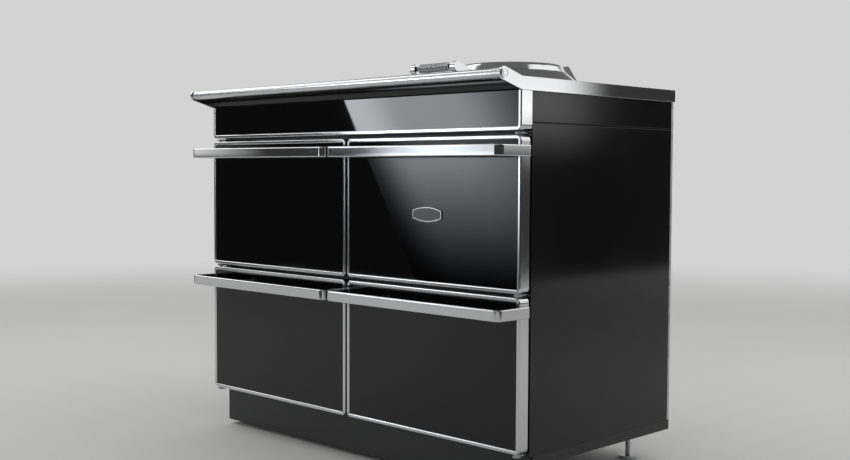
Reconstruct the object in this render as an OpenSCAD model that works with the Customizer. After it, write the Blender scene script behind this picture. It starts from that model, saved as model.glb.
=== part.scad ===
// Range cooker, 1100 mm wide, with four side-hung ovens, a glass hob and a hotplate under a domed lid.
// Millimetres. X runs across the front, Y from the front to the back, Z up from the floor.
// The origin is on the floor, in the middle of the cooker's length and depth.

/* [Front] */
// Width across a pair of doors
pair_w = 1100; // [1000:10:1200]
// Height of the lower doors above the floor
door_base = 110; // [104:2:140]
// Height of each door
door_h = 335; // [320:5:360]
// Gap between the two doors of a row
mid_gap = 6; // [4:1:10]
// Gap between the upper and the lower doors
row_gap = 8; // [7:0.5:12]
// Gap between the upper doors and the fascia
fascia_gap = 9; // [7:0.5:12]
// Height of the fascia
fascia_h = 84; // [70:2:100]
// Depth of the doors' steel edge
door_d = 30; // [28:1:32]
// Depth of the fascia's steel edge
fascia_d = 36; // [30:1:38]
// Distance from the doors' face back to the case
setback = 39; // [39:1:44]

/* [Steel frames] */
// Width of the polished frame round each door and the fascia
trim_w = 9; // [7:0.5:11]
// Outer corner radius of those frames, seen from the front
corner_r = 12; // [12:1:16]
// Rounding of the frames' front edges
edge_r = 2.5; // [1:0.5:3]
// Thickness of the black glass panels
panel_t = 4; // [3:0.5:5]
// Distance from the frames' face back to the glass
panel_inset = 1.5; // [0.5:0.5:2.5]

/* [Door handles] */
// Height of the handle strip
bar_h = 25; // [20:1:30]
// Thickness of the handle strip
bar_t = 6; // [4:1:8]
// Distance from the doors' face to the front of the bar
bar_out = 71; // [55:1:80]
// Distance from the top of a door down to its handle
bar_drop = 20; // [15:1:30]
// Outer bend radius of the handle strip
bar_bend = 15; // [12:1:18]
// How far the outer arm stands out from the door's side
arm_proud = 2.5; // [1:0.5:4]
// Distance from the door's inner edge to the inner arm
arm_in = 1; // [0.5:0.5:2]

/* [Door hinges] */
// Radius of the hinge pins
pin_r = 4; // [3:0.5:4]
// Distance from the door's outer edge to the hinge axis
hinge_in = 15; // [15:0.5:17]
// Distance from the door's face back to the hinge axis
hinge_back = 12; // [12:0.5:13]
// Length of pin inside a door
pin_in = 30; // [20:1:40]
// Thickness of the hinge lugs
lug_t = 4; // [3:0.5:5]
// Radius of the hinge lugs' round ends
lug_r = 9; // [8:0.5:10]
// Radius of the collar that each door stands on
collar_r = 8; // [6:0.5:8]
// Width of the hinge rail behind the front
hinge_rail_w = 26; // [20:1:26]
// Thickness of the hinge rail
hinge_rail_t = 4; // [3:0.5:6]

/* [Case] */
// Distance from the doors' outer edges in to the case's sides
case_in = 2; // [1:0.5:4]
// Distance from the doors' face to the back of the case
case_d = 580; // [560:5:640]
// Thickness of the side panels
side_t = 10; // [8:1:10]
// Thickness of the front frame
front_t = 6; // [4:1:8]
// Thickness of the back panel
back_t = 8; // [6:1:12]
// Thickness of the base plate
base_t = 24; // [20:1:30]
// Distance from the base plate's top up to the lower doors
base_drop = 10; // [9:1:14]
// Depth of the upper side strip, below the case's top
strip_h = 65; // [50:1:80]
// Height of the seam under the upper side strip
seam_h = 3; // [2:0.5:5]
// Depth of that seam
seam_d = 4; // [2:0.5:6]
// Radius of the cable hole in the back panel
cable_r = 12.5; // [8:0.5:20]
// Distance from the case's side to the cable hole
cable_in = 118; // [60:2:150]
// Height of the cable hole
cable_z = 190; // [150:10:240]
// Radius of the two wall strap holes in the back panel
strap_r = 3.5; // [2:0.5:6]
// Distance between the wall strap holes
strap_gap = 800; // [600:10:900]
// Distance from the case's top down to the wall strap holes
strap_drop = 31; // [25:1:40]
// Number of vent slots in each bank
vents = 8; // [4:1:9]
// Length of a vent slot
vent_l = 120; // [60:10:160]
// Height of a vent slot
vent_h = 6; // [3:1:8]
// Distance from one vent slot to the next
vent_pitch = 16; // [12:1:20]

/* [Plinth and feet] */
// Distance from the case's front back to the plinth
plinth_in = 6; // [4:1:20]
// Thickness of the plinth's sheet
plinth_t = 4; // [2:1:6]
// Height of the plinth above the floor
plinth_base = 12; // [10:1:30]
// Distance from the case's side to the plinth's end
plinth_side = 3; // [0:1:10]
// Length of the plinth's side returns
plinth_end_d = 90; // [40:5:150]
// Distance from the plinth's top up to the base plate's top
plinth_drop = 2; // [1:1:6]
// Radius of a foot's pad
pad_r = 22; // [16:1:30]
// Thickness of a foot's pad
pad_t = 8; // [5:1:10]
// Radius of a foot's stem
stem_r = 6; // [4:1:8]
// Radius across the corners of a foot's lock nut
nut_r = 12; // [11:1:16]
// Thickness of a foot's lock nut
nut_t = 9; // [5:1:12]
// Distance from the case's sides to the feet
foot_in = 78; // [60:2:120]
// Distance of the feet from the front and the back of the base plate
foot_y = 60; // [40:5:100]

/* [Ovens] */
// Distance from a door's side edges to the oven's inside
oven_side = 53.5; // [53:0.5:70]
// Distance from a door's top and bottom edges to the oven's inside
oven_edge = 42.5; // [36:0.5:60]
// Depth of an oven's inside
oven_d = 400; // [350:5:420]
// Corner radius of an oven's inside
oven_r = 16; // [10:1:25]
// Thickness of an oven's wall
wall_t = 3; // [2:0.5:4]
// Width of the flange round an oven's mouth
flange_w = 12; // [8:1:12]
// Width of a runner rib
rib_w = 14; // [10:1:18]
// Height of a runner rib
rib_h = 6; // [4:1:8]
// Distance from an oven's mouth to the start of the ribs
rib_in = 15; // [10:1:30]
// Height of the rack above the oven floor
rack_up = 70; // [40:5:90]
// Distance between the two rack levels
level_step = 70; // [50:5:80]
// Radius of the rack's frame rod
rod_r = 3; // [2.5:0.5:4]
// Radius of the rack's wires
wire_r = 1.5; // [1:0.25:2]
// Number of wires along the rack
wires = 16; // [8:1:24]
// Distance from an oven's mouth back to the rack
rack_in = 35; // [35:1:60]
// Space between the rack and the oven's back and side walls
rack_gap = 5; // [3:1:8]
// Space between a rack and the ribs that carry it
rack_fit = 0.3; // [0.2:0.1:0.6]
// Height of the slot between two ribs that guides the rack
rib_slot = 8; // [7:0.5:12]
// Width of the insulation outside the ovens
wool_w = 20; // [10:1:20]

/* [Door inside] */
// Space between the door's plug and the oven's mouth
plug_gap = 10; // [8:1:15]
// Depth of the plug behind the door
plug_d = 26; // [20:1:28]
// Distance from the oven's mouth out to the seal
seal_out = 6; // [3:1:8]
// Width of the seal
seal_w = 12; // [8:1:14]
// Space between the seal and the case's front
seal_gap = 0.5; // [0.4:0.1:1]

/* [Worktop] */
// Height of the side rims
rim_h = 29; // [24:1:36]
// Thickness of the side rims
rim_t = 5; // [3:0.5:8]
// Distance from the rims' top down to the worktop
well = 6; // [3:1:8]
// Thickness of the worktop sheet
top_t = 5; // [3:1:6]
// Thickness of the worktop's edge walls
edge_t = 8; // [5:1:10]
// Distance from the doors' face back to the worktop
trim_d = 12; // [10:1:18]
// Width of the front trim's foot on the case
trim_foot = 4; // [3:0.5:6]
// Height of the front trim's nose
nose_h = 17; // [14:1:20]
// Rounding of the front trim's nose
nose_r = 3; // [1:0.5:4]
// Distance from the doors' face back to the nose
nose_in = 2; // [1:0.5:5]
// Width of the glass hob
glass_w = 470; // [300:10:500]
// Depth of the glass hob
glass_d = 450; // [300:10:480]
// Thickness of the glass hob
glass_t = 4; // [3:0.5:6]
// Corner radius of the glass hob
glass_r = 10; // [3:1:20]
// Radius of the hotplate
plate_r = 150; // [120:1:154]
// Height of the hotplate above the worktop
plate_h = 12; // [8:1:12]
// Distance from the doors' face back to the middle of the hob
hob_y = 300; // [290:5:310]
// Distance from the right oven's middle in to the middle of the hotplate
plate_in = 10.5; // [0:0.5:20]

/* [Hand rail] */
// Radius of the rail
rail_r = 11; // [9:0.5:12]
// Wall of the rail
rail_wall = 1.5; // [1:0.5:2.5]
// Distance from the doors' face forward to the rail's axis
rail_out = 58; // [50:1:65]
// Height of the rail's axis above the rims' top
rail_up = 2; // [0:1:8]
// Radius of the round ends that hold the rail
arm_r = 14.5; // [13:0.5:18]
// How far the collar rings stand out from the rail
collar_out = 0.6; // [0.3:0.1:1]
// Width of a collar ring
collar_w = 4; // [2:0.5:6]
// Distance from the rail's end to the first collar ring
collar_in = 12; // [8:1:20]
// Radius of the rail's end caps
cap_r = 10.5; // [8:0.5:11]
// Thickness of the rail's end caps
cap_t = 3; // [2:0.5:5]
// Radius of the bolt through a rail arm
bolt_r = 4; // [3:0.5:5]
// Middle radius of the ring groove in an end cap
cap_ring_r = 7; // [5:0.5:8]
// Width of that groove
cap_ring_w = 1.5; // [1:0.5:3]
// Depth of that groove
cap_ring_d = 1; // [0.5:0.25:1.5]
// Length of the plug inside the rail
plug_l = 16; // [10:1:30]

/* [Lid] */
// Radius of the lid at its lip
lid_r = 184; // [180:1:190]
// Height of the lid above the worktop
lid_h = 64; // [62:1:76]
// How far the lid's crown rises in its middle
crown_rise = 1; // [0.5:0.5:2]
// Radius of the lid's flat crown
crown_r = 116; // [100:1:116]
// Radius of the lid's upper part at its foot
side_r = 132; // [128:1:136]
// Rounding of the lid's shoulder
shoulder_r = 12; // [6:1:12]
// Height of the step in the lid's side
step_h = 44; // [42:1:50]
// Width of that step
step_w = 3; // [2:0.5:5]
// Height of the upright edge above that step
step_up = 1; // [1:0.5:3]
// Height of the lid's lip
lip_h = 7; // [6:0.5:10]
// Width of the lid's flat lip
lip_w = 6; // [4:1:10]
// How far that lip rises to the lid's side
lip_rise = 1; // [0.5:0.5:2]
// Thickness of the lid's shell
shell_t = 2; // [1.5:0.5:3]
// Space between the lid and the worktop
lid_gap = 1.5; // [0.5:0.5:2]
// Space between the lid's liner and the hotplate
liner_gap = 3; // [2:0.5:5]
// Thickness of the lid's liner
liner_t = 3; // [2:0.5:3]
// Width of the liner's sloped side
liner_slope = 9; // [6:1:12]
// Distance from the lip back to the lid's hinge axis
lid_hinge_out = 32; // [26:1:36]
// Height of the lid's hinge axis above the worktop
lid_hinge_up = 24; // [20:1:28]
// Radius of the lid's hinge pin
lid_pin_r = 4; // [3:0.5:5]
// Radius of the lid's hinge knuckle
knuckle_r = 10; // [8:0.5:11]
// Half width of the lid's hinge knuckle
knuckle_x = 47; // [40:1:50]
// Half width of the hinge arm on the lid
hinge_arm_x = 36; // [20:1:39]
// Distance from the crown's edge back to the bend of the hinge arm
hinge_arm_back = 62; // [50:1:66]
// How far that bend stands above the lid
hinge_arm_up = 8; // [2:1:10]
// Depth of the hinge's foot
hinge_foot_d = 34; // [30:1:40]
// Thickness of the hinge's ears
ear_t = 14; // [8:1:18]
// Thickness of the hinge's foot
hinge_foot_t = 4; // [3:1:6]

/* [Lid handle] */
// Distance from the lid's middle forward to the handle
grip_out = 266; // [250:2:275]
// Height of the handle's axis above the worktop
grip_up = 41; // [36:1:46]
// Number of curls in the handle's coil
curls = 19; // [10:1:30]
// Distance from one curl to the next
curl_pitch = 4.8; // [4.4:0.1:6]
// Radius of the curls, at the wire's middle
curl_r = 8.5; // [7.5:0.5:10]
// Radius of the coil's wire
curl_wire_r = 1.8; // [1:0.1:1.8]
// Radius of the turn at each end of the coil
curl_turn = 6; // [4:0.5:8]
// Length of the straight at each end of the coil
curl_end = 4; // [3.8:0.2:8]
// Radius of the rod inside the coil
grip_rod_r = 5; // [3:0.5:5]
// Radius of the collars at the coil's ends
grip_collar_r = 11; // [10.5:0.5:13]
// Thickness of those collars
grip_collar_t = 4; // [2:0.5:6]
// Thickness of the handle's two arms
grip_arm_t = 12; // [8:1:16]
// Half height of those arms where they meet the lid
grip_arm_r = 7; // [5:0.5:8]
// Height of that place above the worktop
grip_foot_up = 10; // [9:0.5:14]
// Distance from the lid's lip in to the arms' ends
grip_foot_in = 20; // [16:1:30]

/* [Name plate] */
// Width of the blank plate
badge_w = 90; // [60:5:120]
// Height of the blank plate in its middle
badge_h = 34; // [24:1:40]
// Height of the blank plate at its ends
badge_end = 18; // [12:1:24]
// Thickness of the blank plate
badge_t = 3; // [2:0.5:4]
// Width of the plate's raised border
badge_rim = 2.5; // [1:0.5:4]
// Depth of the field inside that border
badge_sink = 0.8; // [0.4:0.2:1.2]
// Height of the plate's middle above the door's bottom edge
badge_up = 160; // [120:5:200]

/* [Clearances] */
// Radial clearance of a hinge pin in its bore
pin_fit = 0.05; // [0.02:0.01:0.1]
// Radial clearance of a pin's hole in a steel frame
hole_fit = 1; // [0.5:0.1:1.5]
// Clearance of a hinge lug in its slot
slot_fit = 0.3; // [0.2:0.1:0.5]
// Clearance between a collar and the door that stands on it
seat_fit = 0.3; // [0.2:0.1:0.5]
// Radial clearance of the plug inside the rail
rail_fit = 0.1; // [0.05:0.05:0.3]
// Clearance at each end of the lid's knuckle
knuckle_fit = 0.5; // [0.3:0.1:1]

/* [Hidden] */
$fn = 64;
front_reach = max(bar_out, rail_out + arm_r);
face_y = front_reach - (case_d + front_reach) / 2;
case_w = pair_w - 2 * case_in;
door_w = (pair_w - mid_gap) / 2;
door_x = mid_gap / 2 + door_w / 2;
plate_x = door_x - plate_in;
low_z = door_base;
up_z = low_z + door_h + row_gap;
fascia_z = up_z + door_h + fascia_gap;
case_top = fascia_z + fascia_h;
rim_top = case_top + rim_h;
top_z = rim_top - well;
base_top = door_base - base_drop;
base_z = base_top - base_t;
inner_x = case_w / 2 - side_t;
front_back = setback + front_t;
core_y = panel_inset + panel_t;
hinge_x = pair_w / 2 - hinge_in;
bar_z = door_h - bar_drop - bar_h;
arm_x0 = mid_gap / 2 + arm_in;
arm_x1 = pair_w / 2 + arm_proud;
rail_z = rim_top + rail_up;
foot_x = case_w / 2 - foot_in;
cable_x = case_w / 2 - cable_in;
oven_w = door_w - 2 * oven_side;
oven_h = door_h - 2 * oven_edge;
oven_mid = door_h / 2;
rack_w = oven_w - 2 * rack_gap;
liner_end = front_back + oven_d + wall_t;
plinth_top = base_top - plinth_drop;
lid_hinge_y = lid_r + lid_hinge_out;
curl_half = curls * curl_pitch / 2 + curl_turn + curl_end;
wool_x = door_x + oven_w / 2 + wall_t + flange_w;
wool_end = liner_end + wool_w;
over = 1;

// A box between two corners, with y counted back from the doors' face
module slab(x0, x1, y0, y1, z0, z1)
    translate([x0, face_y + y0, z0]) cube([x1 - x0, y1 - y0, z1 - z0]);

// Places a piece on the left (-1) or the right (1) side, with y counted back from the doors' face
module on_side(side, z = 0)
    translate([0, face_y, z]) mirror([side < 0 ? 1 : 0, 0, 0]) children();

// A rounded rectangle round the origin
module rounded(w, h, r) {
    square([w, h - 2 * r], center = true);
    square([w - 2 * r, h], center = true);
    for (x = [-1, 1], y = [-1, 1])
        translate([x * (w / 2 - r), y * (h / 2 - r)]) circle(r);
}

// An upright plate that starts at y and goes back by t
module upright(y, t) translate([0, y + t, 0]) rotate([90, 0, 0]) linear_extrude(t) children();

// A profile in Y and Z, drawn out along X from x by t
module along_x(x, t) translate([x, 0, 0]) rotate([90, 0, 90]) linear_extrude(t) children();

// Section of a steel frame: depth along X, width inward along Y
module trim_section(d) {
    translate([edge_r, 0]) square([d - edge_r, trim_w]);
    translate([0, edge_r]) square([edge_r, trim_w - 2 * edge_r]);
    for (y = [edge_r, trim_w - edge_r]) translate([edge_r, y]) circle(edge_r);
}

// A steel frame round an upright rectangle: four straights and four round corners
module steel_ring(w, h, d)
    for (k = [0:3]) {
        across = k % 2 == 0 ? w : h;
        up = k % 2 == 0 ? h : w;
        rotate([0, 90 * k, 0]) {
            translate([0, 0, -up / 2])
                along_x(corner_r - across / 2, across - 2 * corner_r) trim_section(d);
            translate([across / 2 - corner_r, 0, corner_r - up / 2]) rotate([-90, 0, 0])
                rotate_extrude(angle = 90) translate([corner_r, 0]) rotate(90) trim_section(d);
        }
    }

module base_plate() color("dimgray") difference() {
    slab(-case_w / 2, case_w / 2, plinth_back(), case_d, base_z, base_top);
    for (x = [-1, 1], y = [foot_front(), foot_rear()])
        translate([x * foot_x, face_y + y, base_z - over]) cylinder(r = stem_r, h = base_t + 2 * over);
}

function plinth_back() = setback + plinth_in + plinth_t;
function foot_front() = plinth_back() + foot_y;
function foot_rear() = case_d - foot_y;

module plinth() color("black") {
    end_x = case_w / 2 - plinth_side;
    slab(-end_x, end_x, setback + plinth_in, plinth_back(), plinth_base, plinth_top);
    for (x = [-end_x, end_x - plinth_t])
        slab(x, x + plinth_t, plinth_back(), plinth_back() + plinth_end_d, plinth_base, base_z);
}

// A levelling foot: a pad, a threaded stem up into the base plate and a lock nut under the plate
module foot(x, y) color("gray") translate([x, face_y + y, 0]) {
    cylinder(r = pad_r, h = pad_t);
    cylinder(r = stem_r, h = base_top);
    translate([0, 0, base_z - nut_t]) cylinder(r = nut_r, h = nut_t, $fn = 6);
}

module front_frame() color("black") difference() {
    slab(-inner_x, inner_x, setback, front_back, base_top, case_top);
    for (side = [-1, 1], z = [low_z, up_z]) on_side(side, z) translate([door_x, 0, oven_mid])
        upright(setback - over, front_t + 2 * over) rounded(oven_w, oven_h, oven_r);
    for (side = [-1, 1]) on_side(side) hinge_lugs(slot_fit);
}

module side_panel(side) color([0.06, 0.06, 0.07])
    on_side(side) translate([inner_x, setback, base_top])
        cube([side_t, case_d - back_t - setback, case_top - strip_h - seam_h - base_top]);

module side_strip(side) color([0.06, 0.06, 0.07]) on_side(side) {
    length = case_d - back_t - setback;
    translate([inner_x, setback, case_top - strip_h]) cube([side_t, length, strip_h]);
    translate([inner_x, setback, case_top - strip_h - seam_h]) cube([side_t - seam_d, length, seam_h]);
}

module back_panel() color("dimgray") difference() {
    slab(-case_w / 2, case_w / 2, case_d - back_t, case_d, base_top, case_top);
    through_back(-cable_x, cable_z, cable_r);
    for (x = [-1, 1]) through_back(x * strap_gap / 2, case_top - strap_drop, strap_r);
    for (x = [-1, 1], k = [0:vents - 1]) {
        vent_z = up_z + oven_mid + k * vent_pitch;
        translate([x * door_x - vent_l / 2, face_y + case_d - back_t - over, vent_z])
            cube([vent_l, back_t + 2 * over, vent_h]);
    }
}

module through_back(x, z, r) translate([x, face_y + case_d + over, z]) rotate([90, 0, 0])
    cylinder(r = r, h = back_t + 2 * over);

// The three lugs at one side, larger by grow all round for their slots
module hinge_lugs(grow) {
    lug_w = inner_x - slot_fit - hinge_x + lug_r;
    for (z = [low_z - base_drop / 2, up_z - row_gap / 2, fascia_z - fascia_gap / 2])
        translate([hinge_x, hinge_back, z - lug_t / 2 - grow]) {
            cylinder(r = lug_r, h = lug_t + 2 * grow);
            translate([-lug_r - grow, 0, 0])
                cube([lug_w + 2 * grow, front_back - hinge_back, lug_t + 2 * grow]);
        }
}

// Places a pin on the hinge axis from height z0 to z1
module hinge_pin(z0, z1, r) translate([hinge_x, hinge_back, z0]) cylinder(r = r, h = z1 - z0);

module hinge_rail(side) color("darkgray") on_side(side) {
    translate([inner_x - hinge_rail_w, front_back, base_top])
        cube([hinge_rail_w, hinge_rail_t, fascia_z - base_top]);
    hinge_lugs(0);
    for (z = [low_z, up_z]) {
        under = z - (z == low_z ? base_drop : row_gap) / 2;
        above = z + door_h + (z == low_z ? row_gap : fascia_gap) / 2;
        hinge_pin(under, z + pin_in, pin_r);
        hinge_pin(under, z - seat_fit, collar_r);
        hinge_pin(z + door_h - pin_in, above, pin_r);
    }
}

module insulation() color("khaki") difference() {
    slab(-wool_x, wool_x, front_back + wall_t, wool_end, base_top, case_top);
    for (side = [-1, 1], z = [low_z, up_z]) on_side(side, z) oven_block();
}

// The outside of an oven, as one solid
module oven_block() translate([door_x, 0, oven_mid])
    upright(front_back, oven_d + wall_t) rounded(oven_w + 2 * wall_t, oven_h + 2 * wall_t, oven_r + wall_t);

module oven(side, z) color("gray") on_side(side, z) {
    difference() {
        union() {
            oven_block();
            translate([door_x, 0, oven_mid]) upright(front_back, wall_t)
                rounded(oven_w + 2 * (wall_t + flange_w), oven_h + 2 * (wall_t + flange_w), oven_r);
        }
        translate([door_x, 0, oven_mid])
            upright(front_back - over, oven_d + over) rounded(oven_w, oven_h, oven_r);
    }
    for (x = [0, oven_w - rib_w], level = [0, 1], above = [0, 1])
        translate([door_x - oven_w / 2 + x, front_back + rib_in, rib_z(level) + above * (rib_slot + rib_h)])
            cube([rib_w, oven_d - rib_in, rib_h]);
}

// Height of the underside of the lower rib of a level, above the door's bottom edge
function rib_z(level) = oven_mid - oven_h / 2 + rack_up - rib_h + level * level_step;

module rack(side, z) color("silver") on_side(side, z)
    translate([door_x, front_back + rack_in, rib_z(0) + rib_h + rack_fit + rod_r]) {
        depth = oven_d - rack_in - rack_gap;
        x1 = rack_w / 2 - rod_r;
        for (x = [-x1, x1]) {
            translate([x, rod_r, 0]) rotate([-90, 0, 0]) cylinder(r = rod_r, h = depth - 2 * rod_r);
            for (y = [rod_r, depth - rod_r]) translate([x, y, 0]) sphere(rod_r);
        }
        for (y = [rod_r, depth - rod_r])
            translate([-x1, y, 0]) rotate([0, 90, 0]) cylinder(r = rod_r, h = 2 * x1);
        for (k = [1:wires]) translate([-x1 + 2 * x1 * k / (wires + 1), rod_r, 0])
            rotate([-90, 0, 0]) cylinder(r = wire_r, h = depth - 2 * rod_r);
    }

// The fascia's frame is open at the top: what stands above the case is cut off
module fascia_part() difference() {
    translate([0, face_y, fascia_z + fascia_h / 2 + corner_r]) children();
    slab(-pair_w / 2 - over, pair_w / 2 + over, -over, setback + over, case_top, case_top + 2 * corner_r + over);
}

module fascia_frame() color("silver") fascia_part()
    steel_ring(pair_w, fascia_h + 2 * corner_r, fascia_d);

module fascia_panel() color([0.03, 0.03, 0.035]) fascia_part()
    upright(panel_inset, panel_t) inside_ring(pair_w, fascia_h + 2 * corner_r);

module fascia_box() color("black") fascia_part()
    upright(core_y, setback - core_y) inside_ring(pair_w, fascia_h + 2 * corner_r);

// What fits inside a steel frame
module inside_ring(w, h) rounded(w - 2 * trim_w, h - 2 * trim_w, corner_r - trim_w);

module door_frame(side, z) color("silver") on_side(side, z) difference() {
    translate([door_x, 0, door_h / 2]) steel_ring(door_w, door_h, door_d);
    pin_bores(hole_fit);
    translate([0, 0, bar_z]) outer_arm();
}

module door_panel(side, z) color([0.03, 0.03, 0.035]) on_side(side, z) translate([door_x, 0, door_h / 2])
    upright(panel_inset, panel_t) inside_ring(door_w, door_h);

// The insulated inside of a door: a box in the steel frame, a plug into the oven and a seal round it
module door_core(side, z) color("dimgray") on_side(side, z) difference() {
    translate([door_x, 0, door_h / 2]) {
        upright(core_y, door_d - core_y) inside_ring(door_w, door_h);
        upright(door_d, plug_d) rounded(oven_w - 2 * plug_gap, oven_h - 2 * plug_gap, oven_r);
        upright(door_d, setback - seal_gap - door_d) difference() {
            rounded(oven_w + 2 * (seal_out + seal_w), oven_h + 2 * (seal_out + seal_w), oven_r + seal_out);
            rounded(oven_w + 2 * seal_out, oven_h + 2 * seal_out, oven_r);
        }
    }
    pin_bores(pin_fit);
}

// The two hinge pins' space in a door
module pin_bores(fit) {
    hinge_pin(-over, pin_in + over, pin_r + fit);
    hinge_pin(door_h - pin_in - over, door_h + over, pin_r + fit);
}

// Section of the handle strip, with its two long edges fully rounded
module bar_section() {
    translate([0, bar_t / 2]) square([bar_t, bar_h - bar_t]);
    for (y = [bar_t / 2, bar_h - bar_t / 2]) translate([bar_t / 2, y]) circle(bar_t / 2);
}

module bar_arm(x, end) translate([x, end, 0]) rotate([90, 0, 0])
    linear_extrude(end + bar_out - bar_bend) bar_section();

module outer_arm() bar_arm(arm_x1 - bar_t, door_d);

module bar_corner(x, angle) translate([x, bar_bend - bar_out, 0]) rotate([0, 0, angle])
    rotate_extrude(angle = 90) translate([bar_bend - bar_t, 0]) bar_section();

// A steel strip bent twice: its inner arm stands on the frame, its outer arm is let into the door's side
module door_handle(side, z) color("lightgray") on_side(side, z) translate([0, 0, bar_z]) {
    translate([0, -bar_out, 0]) along_x(arm_x0 + bar_bend, arm_x1 - arm_x0 - 2 * bar_bend) bar_section();
    bar_corner(arm_x0 + bar_bend, 180);
    bar_corner(arm_x1 - bar_bend, -90);
    bar_arm(arm_x0, 0);
    outer_arm();
}

module badge_plate() color("silver") on_side(1, up_z) translate([door_x, 0, badge_up]) difference() {
    upright(panel_inset - badge_t, badge_t) badge_outline(0);
    upright(panel_inset - badge_t - over, badge_sink + over) badge_outline(badge_rim);
}

// A flat-ended oval, smaller by inset all round
module badge_outline(inset) {
    rise = (badge_h - badge_end) / 2;
    arc_r = (pow(badge_w / 2, 2) + rise * rise) / (2 * rise);
    intersection() {
        square([badge_w - 2 * inset, badge_h], center = true);
        translate([0, badge_h / 2 - arc_r]) circle(arc_r - inset);
        translate([0, arc_r - badge_h / 2]) circle(arc_r - inset);
    }
}

module hob_plate() color("gray") {
    x = case_w / 2;
    slab(-x, x, trim_d, case_d, top_z - top_t, top_z);
    slab(-x, x, trim_d, trim_d + edge_t, case_top, top_z - top_t);
    slab(-x, x, case_d - edge_t, case_d, case_top, top_z - top_t);
    for (side = [-1, 1]) on_side(side) translate([x - edge_t, trim_d, case_top])
        cube([edge_t, case_d - trim_d, top_z - top_t - case_top]);
}

// Under the nose, the trim's face slopes back to its foot
module hob_trim() color("black") translate([0, face_y, case_top]) along_x(-case_w / 2, case_w) {
    polygon([[nose_in, rim_h - nose_h], [trim_d - trim_foot, 0], [trim_d, 0], [trim_d, rim_h - nose_h]]);
    translate([nose_in, rim_h - nose_h]) square([trim_d - nose_in, nose_h - nose_r]);
    translate([nose_in + nose_r, rim_h - nose_h]) square([trim_d - nose_in - nose_r, nose_h]);
    translate([nose_in + nose_r, rim_h - nose_r]) circle(nose_r);
}

// The worktop's side rim, which bends up and forward into the arm that holds the rail
module rim(side) color("lightgray") on_side(side, case_top) difference() {
    along_x(case_w / 2, rim_t) {
        rail_at = [-rail_out, rail_z - case_top];
        u = (rail_at - [0, rim_h / 2]) / norm(rail_at - [0, rim_h / 2]);
        n = [u[1], -u[0]] * arm_r;
        square([case_d, rim_h]);
        polygon([[0, 0], [0, rim_h], rail_at + n, rail_at - n]);
        translate(rail_at) circle(arm_r);
    }
    rail_axis(case_w / 2 - over, rim_t + 2 * over, bolt_r);
}

// A cylinder on the rail's axis, in the frame of the rims
module rail_axis(x, length, r) translate([x, -rail_out, rail_z - case_top]) rotate([0, 90, 0])
    cylinder(r = r, h = length);

module hand_rail() color("silver") on_side(1, case_top) difference() {
    union() {
        rail_axis(-case_w / 2, case_w, rail_r);
        for (x = collar_places()) rail_axis(x, collar_w, rail_r + collar_out);
    }
    rail_axis(-case_w / 2 - over, case_w + 2 * over, rail_r - rail_wall);
}

// Where the collar rings start: two of them near each end of the rail
function collar_places() = [for (s = [-1, 1], k = [0, 2])
    s * (case_w / 2 - collar_in - k * collar_w) - (s + 1) / 2 * collar_w];

module rail_cap(side) color("silver") on_side(side, case_top) difference() {
    union() {
        rail_axis(case_w / 2 + rim_t, cap_t, cap_r);
        rail_axis(case_w / 2, rim_t, bolt_r);
        rail_axis(case_w / 2 - plug_l, plug_l, rail_r - rail_wall - rail_fit);
    }
    difference() {
        rail_axis(case_w / 2 + rim_t + cap_t - cap_ring_d, cap_t, cap_ring_r + cap_ring_w / 2);
        rail_axis(case_w / 2 + rim_t, 2 * cap_t, cap_ring_r - cap_ring_w / 2);
    }
}

module hob_glass() color([0.03, 0.03, 0.035]) translate([-door_x, face_y + hob_y, top_z])
    linear_extrude(glass_t) rounded(glass_w, glass_d, glass_r);

module on_lid() translate([plate_x, face_y + hob_y, top_z]) children();

module hotplate() color([0.2, 0.2, 0.2]) on_lid() cylinder(r = plate_r, h = plate_h);

// Half section of the lid, smaller by inset, with its rounded shoulder
module lid_section(inset) {
    edge_z = lid_h - crown_rise;
    bend = [crown_r, edge_z - shoulder_r];
    side = [side_r - inset, step_h + step_up];
    reach = side - bend;
    turn_r = shoulder_r - inset;
    turn = atan2(reach[1], reach[0]) + acos(turn_r / norm(reach));
    polygon([
        [0, lid_gap], [lid_r - inset, lid_gap], [lid_r - inset, lip_h - inset],
        [lid_r - lip_w - inset, lip_h + lip_rise - inset],
        [side_r + step_w - inset, step_h - inset], [side_r - inset, step_h - inset], side,
        bend + turn_r * [cos(turn), sin(turn)], bend, [crown_r, edge_z - inset], [0, lid_h - inset]
    ]);
    translate(bend) circle(turn_r);
}

module lid_shell() color("silver") on_lid() rotate_extrude() difference() {
    lid_section(0);
    lid_section(shell_t);
    square([lid_r - shell_t, 2 * lid_gap]);
}

// The pan that closes the lid from below, held in its lip
module lid_liner() color("darkgray") on_lid() rotate_extrude() {
    rim_r = lid_r - shell_t;
    flat_r = plate_r + liner_gap;
    foot_r = flat_r + liner_slope;
    high = plate_h + liner_gap;
    top = lip_h - shell_t;
    low = top - liner_t;
    polygon([
        [0, high], [flat_r, high], [foot_r, low], [rim_r, low],
        [rim_r, top], [foot_r + liner_t, top], [flat_r + liner_t, high + liner_t], [0, high + liner_t]
    ]);
}

// A straight bar from p to q, with its half width going from rp to rq
module strap(p, q, rp, rq) {
    u = (q - p) / norm(q - p);
    n = [-u[1], u[0]];
    polygon([p + rp * n, q + rq * n, q - rq * n, p - rp * n]);
}

// A profile in Y and Z on the lid, as wide as 2 * half
module across_lid(half) along_x(-half, 2 * half) children();

module lid_axis(half, r) translate([-half, lid_hinge_y, lid_hinge_up]) rotate([0, 90, 0])
    cylinder(r = r, h = 2 * half);

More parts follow.
